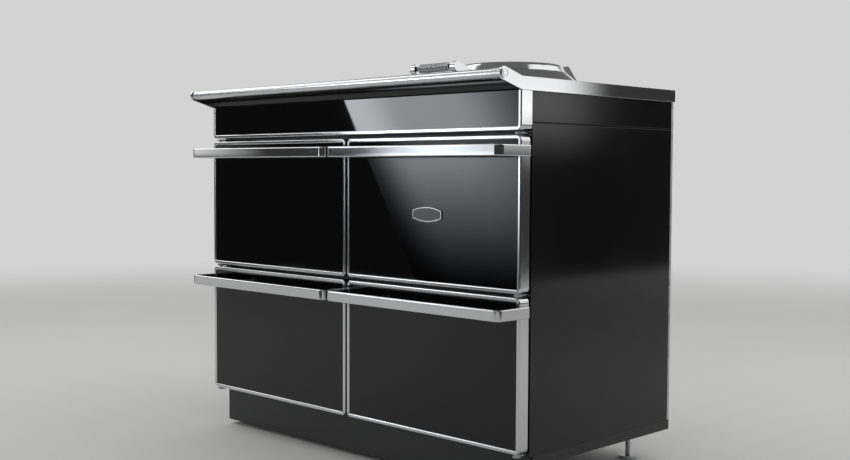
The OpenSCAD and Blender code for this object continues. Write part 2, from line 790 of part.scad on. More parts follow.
module lid_hinge_base() color("silver") on_lid() {
    ear_x = knuckle_x + knuckle_fit;
    for (x = [-ear_x - ear_t, ear_x]) along_x(x, ear_t) {
        translate([lid_hinge_y, lid_hinge_up]) circle(knuckle_r);
        translate([lid_hinge_y - knuckle_r, 0]) square([2 * knuckle_r, lid_hinge_up]);
    }
    translate([-ear_x - ear_t, lid_hinge_y - knuckle_r, 0])
        cube([2 * (ear_x + ear_t), hinge_foot_d, hinge_foot_t]);
    lid_axis(ear_x, lid_pin_r);
}

// The knuckle and the arm that carries the lid, shaped to sit on its side
module lid_hinge_arm() color("silver") on_lid() difference() {
    union() {
        lid_axis(knuckle_x, knuckle_r);
        across_lid(hinge_arm_x) {
            bend = [crown_r + hinge_arm_back, lid_h + hinge_arm_up - knuckle_r];
            strap([lid_hinge_y, lid_hinge_up], bend, knuckle_r, knuckle_r);
            strap(bend, [crown_r, lid_h - crown_rise - knuckle_r], knuckle_r, knuckle_r);
            translate(bend) circle(knuckle_r);
        }
    }
    rotate_extrude() lid_section(0);
    lid_axis(knuckle_x + over, lid_pin_r + pin_fit);
}

module grip_axis(x, length, r) translate([x, -grip_out, grip_up]) rotate([0, 90, 0])
    cylinder(r = r, h = length);

// The rod inside the coil, a collar at each of its ends and the two arms that reach back to the lid
module lid_grip() color("silver") on_lid() {
    grip_axis(-curl_half, 2 * curl_half, grip_rod_r);
    for (side = [0, 1]) mirror([side, 0, 0]) {
        grip_axis(curl_half, grip_collar_t, grip_collar_r);
        difference() {
            along_x(curl_half + grip_collar_t, grip_arm_t) {
                translate([-grip_out, grip_up]) circle(grip_collar_r);
                strap([-grip_out, grip_up], [grip_foot_in - lid_r, grip_foot_up], grip_collar_r, grip_arm_r);
            }
            rotate_extrude() lid_section(0);
        }
    }
}

// The coil's route: its curls run at lead, and each end turns to run straight along the axis
coil_lead = atan2(curl_pitch, 2 * PI * curl_r);
coil_rings = 8;
turn_rings = 4;
coil_sides = 6;
turn_a = curl_turn * (1 - sin(coil_lead));
turn_x = curl_turn * cos(coil_lead);
curls_x = curl_half - curl_end - turn_x;

// Each station is [distance along the axis, angle round it, angle of the wire to the curl]
function end_stations(s) = [for (k = [0:turn_rings]) let (
        a = coil_lead + (90 - coil_lead) * k / turn_rings,
        round_mm = curl_turn * (sin(a) - sin(coil_lead)),
        axial_mm = curl_turn * (cos(coil_lead) - cos(a))
    ) [s * (curls_x + axial_mm), s * (curls * 180 + round_mm / curl_r * 180 / PI), a]];
function reversed(list) = [for (k = [len(list) - 1:-1:0]) list[k]];
middle_stations = [for (k = [1:curls * coil_rings - 1]) let (t = 2 * k / (curls * coil_rings) - 1)
    [t * curls_x, t * curls * 180, coil_lead]];
last_angle = curls * 180 + turn_a / curl_r * 180 / PI;
stations = concat(
    [[-curl_half, -last_angle, 90]], reversed(end_stations(-1)),
    middle_stations,
    end_stations(1), [[curl_half, last_angle, 90]]
);

function station_point(st) = [st[0], curl_r * cos(st[1]), curl_r * sin(st[1])];
function station_out(st) = [0, cos(st[1]), sin(st[1])];
function station_side(st) = [-cos(st[2]), -sin(st[1]) * sin(st[2]), cos(st[1]) * sin(st[2])];
coil_points = [for (st = stations, k = [0:coil_sides - 1])
    station_point(st) + curl_wire_r
        * (cos(360 * k / coil_sides) * station_out(st) + sin(360 * k / coil_sides) * station_side(st))];
coil_count = len(stations);
function coil_at(ring, k) = ring * coil_sides + k % coil_sides;
coil_last = coil_count - 1;
coil_faces = concat(
    [for (k = [1:coil_sides - 2]) [coil_at(0, 0), coil_at(0, k), coil_at(0, k + 1)]],
    [for (k = [1:coil_sides - 2]) [coil_at(coil_last, 0), coil_at(coil_last, k + 1), coil_at(coil_last, k)]],
    [for (i = [0:coil_count - 2], k = [0:coil_sides - 1], half = [0, 1]) half == 0
        ? [coil_at(i, k), coil_at(i + 1, k), coil_at(i, k + 1)]
        : [coil_at(i, k + 1), coil_at(i + 1, k), coil_at(i + 1, k + 1)]]
);
// The least gap between wire points that lie about one curl or more apart
coil_gap = min([
    for (i = [0:coil_last - coil_rings], j = [i + coil_rings - 2:min(i + 2 * coil_rings, coil_last)])
        norm(station_point(stations[i]) - station_point(stations[j])) - 2 * curl_wire_r
]);
echo(coil_gap = coil_gap, coil_curls = curls, coil_triangles = len(coil_faces));

module lid_coil() color("silver") on_lid() translate([0, -grip_out, grip_up])
    polyhedron(points = coil_points, faces = coil_faces, convexity = 10);

base_plate();
plinth();
foot(-foot_x, foot_front());  // foot_fl
foot(foot_x, foot_front());  // foot_fr
foot(-foot_x, foot_rear());  // foot_bl
foot(foot_x, foot_rear());  // foot_br
front_frame();
side_panel(-1);  // side_panel_l
side_panel(1);  // side_panel_r
side_strip(-1);  // side_strip_l
side_strip(1);  // side_strip_r
back_panel();
hinge_rail(-1);  // hinge_rail_l
hinge_rail(1);  // hinge_rail_r
insulation();
oven(-1, up_z);  // oven_ul
oven(1, up_z);  // oven_ur
oven(-1, low_z);  // oven_ll
oven(1, low_z);  // oven_lr
rack(-1, up_z);  // rack_ul
rack(1, up_z);  // rack_ur
rack(-1, low_z);  // rack_ll
rack(1, low_z);  // rack_lr
fascia_frame();
fascia_panel();
fascia_box();
hob_plate();
hob_trim();
rim(-1);  // rim_l
rim(1);  // rim_r
hand_rail();
rail_cap(-1);  // rail_cap_l
rail_cap(1);  // rail_cap_r
hob_glass();
hotplate();
lid_shell();
lid_liner();
lid_hinge_base();
lid_hinge_arm();
lid_grip();
lid_coil();
door_frame(-1, up_z);  // door_frame_ul
door_frame(1, up_z);  // door_frame_ur
door_frame(-1, low_z);  // door_frame_ll
door_frame(1, low_z);  // door_frame_lr
door_panel(-1, up_z);  // door_panel_ul
door_panel(1, up_z);  // door_panel_ur
door_panel(-1, low_z);  // door_panel_ll
door_panel(1, low_z);  // door_panel_lr
door_core(-1, up_z);  // door_core_ul
door_core(1, up_z);  // door_core_ur
door_core(-1, low_z);  // door_core_ll
door_core(1, low_z);  // door_core_lr
door_handle(-1, up_z);  // door_handle_ul
door_handle(1, up_z);  // door_handle_ur
door_handle(-1, low_z);  // door_handle_ll
door_handle(1, low_z);  // door_handle_lr
badge_plate();
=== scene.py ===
"""The looks of the range cooker. Metres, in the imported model's own frame: X along the front, Y back, Z up."""
import math

import bmesh
import bpy
from mathutils import Matrix, Vector


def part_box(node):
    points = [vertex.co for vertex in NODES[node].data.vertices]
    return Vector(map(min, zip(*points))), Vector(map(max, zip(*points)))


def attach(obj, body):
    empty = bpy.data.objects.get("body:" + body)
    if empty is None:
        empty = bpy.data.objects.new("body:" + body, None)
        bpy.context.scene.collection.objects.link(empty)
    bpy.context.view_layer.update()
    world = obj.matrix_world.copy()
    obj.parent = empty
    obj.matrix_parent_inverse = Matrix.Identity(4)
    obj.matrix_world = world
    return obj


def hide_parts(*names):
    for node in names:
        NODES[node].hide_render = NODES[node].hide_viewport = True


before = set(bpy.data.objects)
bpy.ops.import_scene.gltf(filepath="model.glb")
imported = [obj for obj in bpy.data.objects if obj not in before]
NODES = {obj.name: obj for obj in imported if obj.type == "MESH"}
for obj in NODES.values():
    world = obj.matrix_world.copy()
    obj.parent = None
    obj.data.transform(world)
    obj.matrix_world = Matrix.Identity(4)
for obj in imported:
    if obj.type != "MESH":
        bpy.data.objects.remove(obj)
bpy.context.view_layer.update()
CORNERS = ("ul", "ur", "ll", "lr")
TAU = 2 * math.pi

# Camera, fitted to the edges that the photograph shows
IMAGE_WIDTH = 850
FOCAL_PIXELS = 1142.5
SENSOR = 36
CAMERA_PLACE = Vector((2.0831, -2.09315, 0.7134))
CAMERA_YAW = math.radians(44.585)
CAMERA_PITCH = math.radians(3.006)
CAMERA_ROLL = -0.0044
CLIP_START = 0.05

# Studio
ROOM_COLOUR = (1.0, 1.0, 1.0, 1)
ROOM_LEVEL = 0.65
FLOOR_RADIUS = 14
FLOOR_STEPS = 64
FLOOR_FADE = (2.6, 6.5)

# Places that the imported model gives
FACE_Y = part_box("door_frame_ur")[0].y
LID_LOW, LID_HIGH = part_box("lid_shell")
LID_X = (LID_LOW.x + LID_HIGH.x) / 2
LID_Y = (LID_LOW.y + LID_HIGH.y) / 2
PLATE_RADIUS = (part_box("hotplate")[1].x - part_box("hotplate")[0].x) / 2
COIL_LOW, COIL_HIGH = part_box("lid_coil")

# Lid handle's coil, as in the CAD
CURLS = 19
CURL_PITCH = 0.0048
CURL_WIRE = 0.0018
CURL_TURN = 0.006
CURL_END = 0.004
RINGS_PER_CURL = 24
TURN_RINGS = 10
WIRE_SIDES = 12

# Inside of the doors, counted back from their face, as in the CAD
DOOR_DEPTH = 0.030
OVEN_SIDE = 0.0535
OVEN_EDGE = 0.0425
OVEN_CORNER = 0.016
PLUG_GAP = 0.010
PLUG_DEPTH = 0.026
SEAL_OUT = 0.006
SEAL_WIDTH = 0.012
SEAL_DEPTH = 0.0085

# Door linings. A field step is a distance in from the groove's edge and a share of the skin's thickness
LINING_SKIN = 0.0012
LINING_ROUND = 0.004
LINING_ROUND_STEPS = 5
LINING_LEAST_CORNER = 0.006
FIELD_IN = 0.026
FIELD_STEPS = ((0.0, 1), (0.003, 0.5), (0.006, 0.25), (0.012, 0.25), (0.016, 0.5), (0.020, 1))

# Rope seals: how far they cover the CAD's bead, and their plait
SEAL_COVER = 0.0006
SEAL_PROUD = 0.0002
SEAL_ROUND = 0.0014
SEAL_CORNER_STEPS = 14
STRAND_LENGTH = 0.009
STRAND_STEPS = 6
STRAND_RELIEF = 0.0007
STRAND_SHIFT = 1.1
RELIEF_SHARE = 0.35
SIDE_SHARE = 0.3
BACK_SHARE = 0.4

# Screws round the ovens' mouths: steps round, and the head's outline in shares of radius and height
SCREW_RADIUS = 0.0042
SCREW_HEIGHT = 0.0022
SCREW_STEPS = 24
SCREW_OUT = 0.008
SCREW_HEAD = ((1, 0), (1, 0.35), (0.93, 0.7), (0.78, 0.93), (0.6, 1))
SOCKET_SHARE = 0.46
SOCKET_FLOOR = (0.95, 0.15)

# Threads of the feet: their ends above the floor and under the base, and the ridge's outline
STEM_RADIUS = 0.006
THREAD_PITCH = 0.00175
THREAD_START = 0.0084
THREAD_BELOW_BASE = 0.0092
THREAD_STEPS = 16
THREAD_RIDGE = ((-0.0003, -0.0006), (0.0007, 0.0), (-0.0003, 0.0006))

# Polished steel's own colour, and its darker and its lighter tone
STEEL = (0.63, 0.635, 0.64)
STEEL_TONES = ((0.60, 0.605, 0.61), (0.67, 0.675, 0.68))

# Details that finishes draw, in metres
GROOVE_PITCH = 0.0011
ZONES = ((-1, -1, 0.092), (1, -1, 0.074), (-1, 1, 0.074), (1, 1, 0.092))
ZONE_RING_GAP = 0.006
ZONE_LINE = 0.0011
PLATE_SINK = 0.0008
# Width over which the painted shade on the lid handle's rod fades out at the coil's ends
ROD_SHADE_FADE = 0.001


class Finish:
    """A material's nodes, with short calls for the nodes that the finishes share."""

    def __init__(self, name, base, metallic=0.0, roughness=0.3, ior=1.5):
        self.material = bpy.data.materials.new(name)
        self.material.use_nodes = True
        self.nodes = self.material.node_tree.nodes
        self.links = self.material.node_tree.links
        self.shader = self.nodes["Principled BSDF"]
        self.coords = self.nodes.new("ShaderNodeTexCoord").outputs["Object"]
        self.set("Base Color", (*base, 1))
        self.set("Metallic", metallic)
        self.set("Roughness", roughness)
        self.set("IOR", ior)

    def set(self, socket, value):
        self.feed(self.shader.inputs[socket], value)

    def feed(self, socket, value):
        if isinstance(value, bpy.types.NodeSocket):
            self.links.new(value, socket)
        else:
            socket.default_value = value

    def node(self, kind, *values, **settings):
        made = self.nodes.new(kind)
        for name, value in settings.items():
            setattr(made, name, value)
        for socket, value in zip(made.inputs, values):
            if value is not None:
                self.feed(socket, value)
        return made.outputs[0]

    def math(self, operation, a, b=0.0, c=0.0):
        return self.node("ShaderNodeMath", a, b, c, operation=operation)

    def stretched(self, scale, vector=None):
        return self.node("ShaderNodeMapping", vector or self.coords, None, None, scale)

    def noise(self, scale, vector=None, detail=3.0, roughness=0.55):
        return self.node("ShaderNodeTexNoise", vector or self.coords, None, scale, detail, roughness)

    def cells(self, scale, out="Distance"):
        made = self.nodes.new("ShaderNodeTexVoronoi")
        self.feed(made.inputs["Vector"], self.coords)
        made.inputs["Scale"].default_value = scale
        return made.outputs[out]

    def remap(self, value, low, high, new_low=0.0, new_high=1.0, smooth=False):
        kind = "SMOOTHSTEP" if smooth else "LINEAR"
        return self.node(
            "ShaderNodeMapRange", value, low, high, new_low, new_high, interpolation_type=kind
        )

    def colours(self, factor, first, second):
        made = self.nodes.new("ShaderNodeMix")
        made.data_type = "RGBA"
        self.feed(made.inputs["Factor"], factor)
        for socket, colour in ((made.inputs["A"], first), (made.inputs["B"], second)):
            self.feed(socket, colour if isinstance(colour, bpy.types.NodeSocket) else (*colour, 1))
        return made.outputs["Result"]

    def axis(self, letter):
        made = self.nodes.new("ShaderNodeSeparateXYZ")
        self.feed(made.inputs[0], self.coords)
        return made.outputs[letter]

    def radius(self, x, y):
        """Distance from an upright axis."""
        dx = self.math("SUBTRACT", self.axis("X"), x)
        dy = self.math("SUBTRACT", self.axis("Y"), y)
        squares = self.math("ADD", self.math("MULTIPLY", dx, dx), self.math("MULTIPLY", dy, dy))
        return self.math("SQRT", squares)

    def relief(self, height, distance, strength=1.0):
        made = self.nodes.new("ShaderNodeBump")
        made.inputs["Strength"].default_value = strength
        made.inputs["Distance"].default_value = distance
        self.feed(made.inputs["Height"], height)
        before = self.shader.inputs["Normal"].links
        if before:
            self.feed(made.inputs["Normal"], before[0].from_socket)
        self.set("Normal", made.outputs[0])


def polished_steel():
    finish = Finish("polished_steel_finish", STEEL, metallic=1)
    cloud = finish.noise(9, detail=4)
    finish.set("Base Color", finish.colours(cloud, *STEEL_TONES))
    haze = finish.noise(30, detail=5, roughness=0.6)
    finish.set("Roughness", finish.remap(haze, 0.3, 0.7, 0.08, 0.13))
    return finish.material


def brushed(name, dull, fine):
    """Steel brushed along its length, between a dull and a fine roughness."""
    finish = Finish(name, STEEL, metallic=1)
    grain = finish.noise(40, finish.stretched((0.6, 60, 60)), detail=4, roughness=0.6)
    finish.set("Base Color", finish.colours(grain, *STEEL_TONES))
    finish.set("Roughness", finish.remap(grain, 0.25, 0.75, fine, dull))
    finish.relief(grain, 0.00001, 0.4)
    return finish.material


def satin_steel():
    return brushed("satin_steel_finish", 0.26, 0.20)


def fine_steel():
    """The finer brushing of the door handles and the worktop's rims."""
    return brushed("fine_steel_finish", 0.07, 0.04)


def black_glass():
    """Deep black glass with a slight roller wave and a trace of wiping marks."""
    finish = Finish("black_glass_finish", (0.0015, 0.0015, 0.0018), ior=1.45)
    marks = finish.noise(7, finish.stretched((1, 1, 0.4)), detail=5, roughness=0.6)
    finish.set("Roughness", finish.remap(marks, 0.35, 0.8, 0.015, 0.05))
    finish.relief(finish.noise(4, detail=1), 0.00012, 0.25)
    return finish.material


def black_enamel():
    """Gloss enamel on sheet steel, with its orange peel."""
    finish = Finish("black_enamel_finish", (0.006, 0.006, 0.007), ior=1.45)
    patch = finish.noise(3, detail=4)
    finish.set("Base Color", finish.colours(patch, (0.002, 0.002, 0.0025), (0.006, 0.006, 0.0065)))
    finish.set("Roughness", finish.remap(patch, 0.3, 0.7, 0.07, 0.13))
    finish.relief(finish.noise(160, detail=2), 0.00003, 0.35)
    return finish.material


def black_paint():
    """Fine-grained satin paint."""
    finish = Finish("black_paint_finish", (0.016, 0.016, 0.016))
    patch = finish.noise(6, detail=5)
    finish.set("Base Color", finish.colours(patch, (0.011, 0.011, 0.011), (0.022, 0.022, 0.022)))
    finish.set("Roughness", finish.remap(patch, 0.3, 0.7, 0.38, 0.52))
    finish.relief(finish.noise(900, detail=2), 0.00005, 0.5)
    return finish.material


def grey_enamel():
    """Vitreous enamel with pale specks."""
    finish = Finish("grey_enamel_finish", (0.085, 0.086, 0.09), ior=1.52)
    speck = finish.cells(420)
    size = finish.noise(200, detail=2)
    dots = finish.math("LESS_THAN", speck, finish.remap(size, 0.45, 0.75, 0.0, 0.3))
    finish.set("Base Color", finish.colours(dots, (0.08, 0.081, 0.086), (0.50, 0.51, 0.53)))
    finish.set("Roughness", finish.remap(finish.noise(12), 0.3, 0.7, 0.14, 0.24))
    finish.relief(finish.noise(120, detail=2), 0.00006, 0.35)
    return finish.material


def zinc_sheet():
    """Galvanised sheet: crystals of a few centimetres that differ in tone and in gloss."""
    finish = Finish("zinc_sheet_finish", (0.5, 0.51, 0.52), metallic=0.85)
    tone = finish.cells(55, out="Color")
    grey = finish.node("ShaderNodeRGBToBW", tone)
    finish.set("Base Color", finish.colours(grey, (0.40, 0.415, 0.43), (0.60, 0.61, 0.62)))
    finish.set("Roughness", finish.remap(grey, 0.0, 1.0, 0.34, 0.52))
    finish.relief(finish.noise(300, detail=3), 0.00003, 0.5)
    return finish.material


def rack_wire():
    """Bright plating whose tone and gloss vary, as heat leaves them."""
    finish = Finish("rack_wire_finish", (0.68, 0.68, 0.69), metallic=1)
    heat = finish.noise(14, detail=3)
    finish.set("Base Color", finish.colours(heat, (0.60, 0.585, 0.56), (0.76, 0.765, 0.77)))
    finish.set("Roughness", finish.remap(heat, 0.3, 0.7, 0.16, 0.30))
    return finish.material


def mineral_wool():
    finish = Finish("mineral_wool_finish", (0.5, 0.44, 0.28), roughness=0.95)
    fibre = finish.noise(90, finish.stretched((1, 6, 1)), detail=8, roughness=0.75)
    finish.set("Base Color", finish.colours(fibre, (0.36, 0.30, 0.17), (0.66, 0.60, 0.42)))
    finish.relief(fibre, 0.002, 0.9)
    return finish.material


def hotplate_iron():
    """Cast iron, turned on a lathe, with a lighter middle from use."""
    finish = Finish("hotplate_iron_finish", (0.14, 0.14, 0.145), metallic=0.75)
    far = finish.radius(LID_X, LID_Y)
    groove = finish.math("SINE", finish.math("MULTIPLY", far, TAU / GROOVE_PITCH))
    worn = finish.math("ADD", finish.noise(16, detail=5), finish.remap(far, 0, PLATE_RADIUS, 0.1, -0.1))
    finish.set("Base Color", finish.colours(worn, (0.07, 0.068, 0.066), (0.22, 0.218, 0.215)))
    finish.set("Roughness", finish.remap(worn, 0.3, 0.7, 0.30, 0.46))
    finish.relief(groove, 0.00006, 0.5)
    finish.relief(finish.noise(500, detail=3), 0.00005, 0.4)
    return finish.material


def hob_ceramic():
    """Black glass ceramic with the plain rings of four cooking zones printed on it."""
    low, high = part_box("hob_glass")
    zone_x, zone_y = (high.x - low.x) / 4, (high.y - low.y) / 4
    middle = (low + high) / 2
    finish = Finish("hob_ceramic_finish", (0.005, 0.005, 0.006))
    rings = None
    for side_x, side_y, zone in ZONES:
        far = finish.radius(middle.x + side_x * zone_x, middle.y + side_y * zone_y)
        for at in (zone, zone - ZONE_RING_GAP):
            off = finish.math("ABSOLUTE", finish.math("SUBTRACT", far, at))
            on = finish.math("LESS_THAN", off, ZONE_LINE if at == zone else ZONE_LINE / 2)
            rings = on if rings is None else finish.math("MAXIMUM", rings, on)
    fleck = finish.cells(900)
    grain = finish.math("MULTIPLY", finish.math("LESS_THAN", fleck, 0.12), 0.25)
    finish.set("Base Color", finish.colours(
        finish.math("MAXIMUM", rings, grain), (0.004, 0.004, 0.005), (0.34, 0.34, 0.35)))
    finish.set("Roughness", finish.remap(rings, 0, 1, 0.05, 0.32))
    finish.relief(finish.noise(5, detail=1), 0.0001, 0.2)
    return finish.material


def lid_steel():
    """Spun and polished: fine rings about the lid's middle."""
    finish = Finish("lid_steel_finish", STEEL, metallic=1)
    far = finish.radius(LID_X, LID_Y)
    rings = finish.node("ShaderNodeCombineXYZ", far, finish.axis("Z"), 0.0)
    spun = finish.noise(1, finish.stretched((1500, 900, 1), rings), detail=4)
    finish.set("Base Color", finish.colours(spun, (0.59, 0.595, 0.60), (0.67, 0.675, 0.68)))
    finish.set("Roughness", finish.remap(spun, 0.3, 0.7, 0.10, 0.20))
    finish.relief(spun, 0.00002, 0.4)
    return finish.material


def grip_steel():
    """The lid handle: its collars and arms polished steel; its rod inside the coil is painted near black and
    dull, as painted shade between the coil's curls.
    """
    finish = Finish("grip_steel_finish", STEEL, metallic=1)
    along = finish.math("ABSOLUTE", finish.math("SUBTRACT", finish.axis("X"), LID_X))
    coil_half = (COIL_HIGH.x - COIL_LOW.x) / 2
    # Mask: 0 on the rod inside the coil, where shade is painted, and 1 on the polished collars and arms
    steel = finish.remap(along, coil_half - ROD_SHADE_FADE, coil_half)
    cloud = finish.noise(60, detail=4)
    bright = finish.colours(cloud, (0.58, 0.585, 0.59), (0.66, 0.665, 0.67))
    # Painted shade: the rod's near-black colour inside the coil stands in for the shade between the curls
    dark = finish.colours(cloud, (0.02, 0.02, 0.02), (0.04, 0.04, 0.04))
    finish.set("Base Color", finish.colours(steel, dark, bright))
    finish.set("Roughness", finish.remap(steel, 0, 1, 0.45, 0.16))
    return finish.material


def liner_aluminium():
    finish = Finish("liner_aluminium_finish", (0.66, 0.66, 0.67), metallic=1)
    far = finish.radius(LID_X, LID_Y)
    rings = finish.node("ShaderNodeCombineXYZ", far, finish.axis("Z"), 0.0)
    spun = finish.noise(1, finish.stretched((900, 600, 1), rings), detail=5)
    finish.set("Base Color", finish.colours(spun, (0.56, 0.56, 0.57), (0.72, 0.72, 0.73)))
    finish.set("Roughness", finish.remap(spun, 0.3, 0.7, 0.28, 0.42))
    finish.relief(spun, 0.00004, 0.5)
    return finish.material


def door_inside():
    finish = Finish("door_inside_finish", (0.05, 0.05, 0.054), ior=1.52)
    patch = finish.noise(5, detail=5)
    finish.set("Base Color", finish.colours(patch, (0.036, 0.036, 0.040), (0.062, 0.062, 0.066)))
    finish.set("Roughness", finish.remap(patch, 0.3, 0.7, 0.18, 0.30))
    finish.relief(finish.noise(150, detail=2), 0.00005, 0.35)
    return finish.material


def foot_steel():
    finish = Finish("foot_steel_finish", (0.55, 0.56, 0.58), metallic=0.95)
    patch = finish.noise(70, detail=4)
    finish.set("Base Color", finish.colours(patch, (0.46, 0.47, 0.50), (0.62, 0.62, 0.63)))
    finish.set("Roughness", finish.remap(patch, 0.3, 0.7, 0.26, 0.42))
    return finish.material


def plate_chrome():
    """The blank plate: a polished border round a dark satin field."""
    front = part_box("badge_plate")[0].y
    finish = Finish("plate_chrome_finish", (0.8, 0.8, 0.81), metallic=1)
    field = finish.remap(finish.axis("Y"), front + PLATE_SINK * 0.5, front + PLATE_SINK * 0.9)
    grain = finish.noise(40, finish.stretched((1, 60, 60)), detail=5)
    dark = finish.colours(grain, (0.055, 0.055, 0.058), (0.085, 0.085, 0.09))
    bright = finish.colours(grain, (0.36, 0.365, 0.37), (0.44, 0.445, 0.45))
    finish.set("Base Color", finish.colours(field, bright, dark))
    finish.set("Metallic", finish.remap(field, 0, 1, 1.0, 0.3))
    finish.set("Roughness", finish.remap(field, 0, 1, 0.16, 0.28))
    return finish.material


def seal_rope():
    """Glass-fibre rope seal."""
    finish = Finish("seal_rope_finish", (0.16, 0.155, 0.145), roughness=0.9)
    yarn = finish.noise(700, detail=4, roughness=0.7)
    finish.set("Base Color", finish.colours(yarn, (0.10, 0.098, 0.092), (0.24, 0.235, 0.22)))
    finish.relief(yarn, 0.0003, 0.7)
    return finish.material


FINISHES = {
    make.__name__: make()
    for make in (
        polished_steel, satin_steel, black_glass, black_enamel, black_paint, grey_enamel, zinc_sheet,
        rack_wire, mineral_wool, hotplate_iron, hob_ceramic, lid_steel, liner_aluminium, door_inside,
        foot_steel, plate_chrome,
    )
}
ROPE = seal_rope()
FINE_STEEL = fine_steel()
GRIP = grip_steel()


def dress_nodes():
    """Gives each CAD node the finish of its own material slot."""
    for node in NODES.values():
        for place in node.material_slots:
            place.material = FINISHES[place.material.name]
    for name in ["rim_l", "rim_r"] + ["door_handle_" + k for k in CORNERS]:
        NODES[name].material_slots[0].material = FINE_STEEL
    NODES["lid_grip"].material_slots[0].material = GRIP


# CAD nodes whose sharp edges get a fine rounding, in metres
SOFT_EDGES = {
    "rim_l": 0.0007, "rim_r": 0.0007, "hob_trim": 0.0004, "hob_plate": 0.0008,
    "side_panel_l": 0.0010, "side_panel_r": 0.0010, "side_strip_l": 0.0010, "side_strip_r": 0.0010,
    "plinth": 0.0006, "base_plate": 0.0010, "hob_glass": 0.0007, "hotplate": 0.0012,
    "rail_cap_l": 0.0005, "rail_cap_r": 0.0005, "lid_grip": 0.0008, "lid_hinge_base": 0.0008,
    "lid_hinge_arm": 0.0008, "badge_plate": 0.0003,
    **{"door_handle_" + k: 0.0005 for k in CORNERS},
}


WELD_DISTANCE = 0.00001
FLAT_ANGLE = math.radians(0.2)
SHARP_ANGLE = math.radians(40)
ROUNDING_STEPS = 2


def soften_edges():
    """Joins the flat faces of the imported triangles, and rounds the sharp edges between them."""
    for name, width in SOFT_EDGES.items():
        node = NODES[name]
        weld = node.modifiers.new("weld", "WELD")
        weld.merge_threshold = WELD_DISTANCE
        if not name.startswith("rail_cap"):
            flat = node.modifiers.new("join_flat_faces", "DECIMATE")
            flat.decimate_type = "DISSOLVE"
            flat.angle_limit = FLAT_ANGLE
        bevel = node.modifiers.new("round_edges", "BEVEL")
        bevel.width = width
        bevel.segments = ROUNDING_STEPS
        bevel.limit_method = "ANGLE"
        bevel.angle_limit = SHARP_ANGLE
        bevel.face_strength_mode = "FSTR_AFFECTED"
        even = node.modifiers.new("even_faces", "WEIGHTED_NORMAL")
        even.keep_sharp = False
        even.use_face_influence = True
        for face in node.data.polygons:
            face.use_smooth = True


def add_piece(name, mesh, finish, body):
    """A new mesh piece, made in the row frame, that rides on a body."""
    piece = bpy.data.objects.new(name, mesh)
    bpy.context.scene.collection.objects.link(piece)
    mesh.materials.append(finish)
    for face in mesh.polygons:
        face.use_smooth = True
    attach(piece, body)
    return piece


def tube_mesh(name, rings, closed=False):
    """A skin over rings of points. An open tube is closed by its end faces."""
    mesh = bpy.data.meshes.new(name)
    made = bmesh.new()
    rows = [[made.verts.new(p) for p in ring] for ring in rings]
    sides = len(rows[0])
    last = len(rows) if closed else len(rows) - 1
    for i in range(last):
        here, there = rows[i], rows[(i + 1) % len(rows)]
        for k in range(sides):
            made.faces.new((here[k], here[(k + 1) % sides], there[(k + 1) % sides], there[k]))
    if not closed:
        made.faces.new(rows[0])
        made.faces.new(rows[-1])
    bmesh.ops.recalc_face_normals(made, faces=made.faces)
    made.to_mesh(mesh)
    made.free()
    return mesh


def coil_stations():
    """[distance along the axis, angle round it, angle of the wire to the curl] from end to end."""
    curl_r = (COIL_HIGH.z - COIL_LOW.z) / 2 - CURL_WIRE
    lead = math.atan2(CURL_PITCH, TAU * curl_r)
    half = (COIL_HIGH.x - COIL_LOW.x) / 2
    curls_x = half - CURL_END - CURL_TURN * math.cos(lead)
    whole = CURLS * math.pi
    end = []
    for k in range(TURN_RINGS + 1):
        a = lead + (math.pi / 2 - lead) * k / TURN_RINGS
        around = CURL_TURN * (math.sin(a) - math.sin(lead)) / curl_r
        end.append((curls_x + CURL_TURN * (math.cos(lead) - math.cos(a)), whole + around, a))
    end.append((half, end[-1][1], math.pi / 2))
    count = CURLS * RINGS_PER_CURL
    middle = [(t * curls_x, t * whole, lead) for t in (2 * k / count - 1 for k in range(1, count))]
    start = [(-x, -turn, a) for x, turn, a in reversed(end)]
    return curl_r, start + middle + end


def lid_coil_piece():
    """The bright wire coil round the lid handle's rod."""
    curl_r, stations = coil_stations()
    axis = (COIL_LOW + COIL_HIGH) / 2
    rings = []
    for x, turn, a in stations:
        out = Vector((0, math.cos(turn), math.sin(turn)))
        side = Vector((-math.cos(a), -math.sin(turn) * math.sin(a), math.cos(turn) * math.sin(a)))
        at = axis + Vector((x, 0, 0)) + curl_r * out
        steps = [TAU * k / WIRE_SIDES for k in range(WIRE_SIDES)]
        rings.append([at + CURL_WIRE * (math.cos(s) * out + math.sin(s) * side) for s in steps])
    mesh = tube_mesh("lid_coil_wire", rings)
    piece = add_piece("lid_coil_wire", mesh, FINISHES["lid_steel"], "lid")
    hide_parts("lid_coil")


def outline(width, height, corner, steps=8):
    """Points of a rounded upright rectangle round the origin, with the way out at each point."""
    points = []
    for k, (sign_x, sign_z) in enumerate(((1, 1), (-1, 1), (-1, -1), (1, -1))):
        centre = Vector((sign_x * (width / 2 - corner), 0, sign_z * (height / 2 - corner)))
        for i in range(steps + 1):
            a = math.pi / 2 * (k + i / steps)
            out = Vector((math.cos(a), 0, math.sin(a)))
            points.append((centre + corner * out, out))
    return points


def door_middle(k):
    """The middle of a door's face, and the door's width and height."""
    low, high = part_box("door_frame_" + k)
    middle = Vector(((low.x + high.x) / 2, FACE_Y, (low.z + high.z) / 2))
    return middle, high.x - low.x, high.z - low.z


